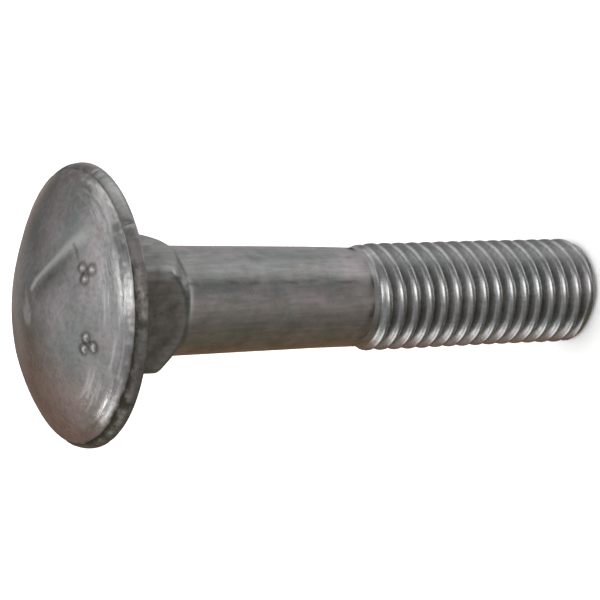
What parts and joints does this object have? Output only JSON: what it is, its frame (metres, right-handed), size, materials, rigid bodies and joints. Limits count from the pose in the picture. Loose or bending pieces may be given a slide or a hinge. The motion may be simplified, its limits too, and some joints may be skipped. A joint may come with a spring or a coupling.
{
  "type": "carriage bolt",
  "caption": "Steel bolt with a low domed head, a square neck, a smooth tapered shank and a right-hand rolled thread with a chamfered end.",
  "frame": {"origin": "middle of the flat at the threaded end, on which the bolt stands", "axes": "+Z along the bolt's axis, from the threaded end to the head; +X and +Y square to the flats of the neck"},
  "size_m": [0.0246, 0.0246, 0.0561],
  "materials": {
    "steel": "satin grey, as forged and rolled"
  },
  "bodies": {
    "root": {"bolt": "steel"}
  },
  "joints": []
}
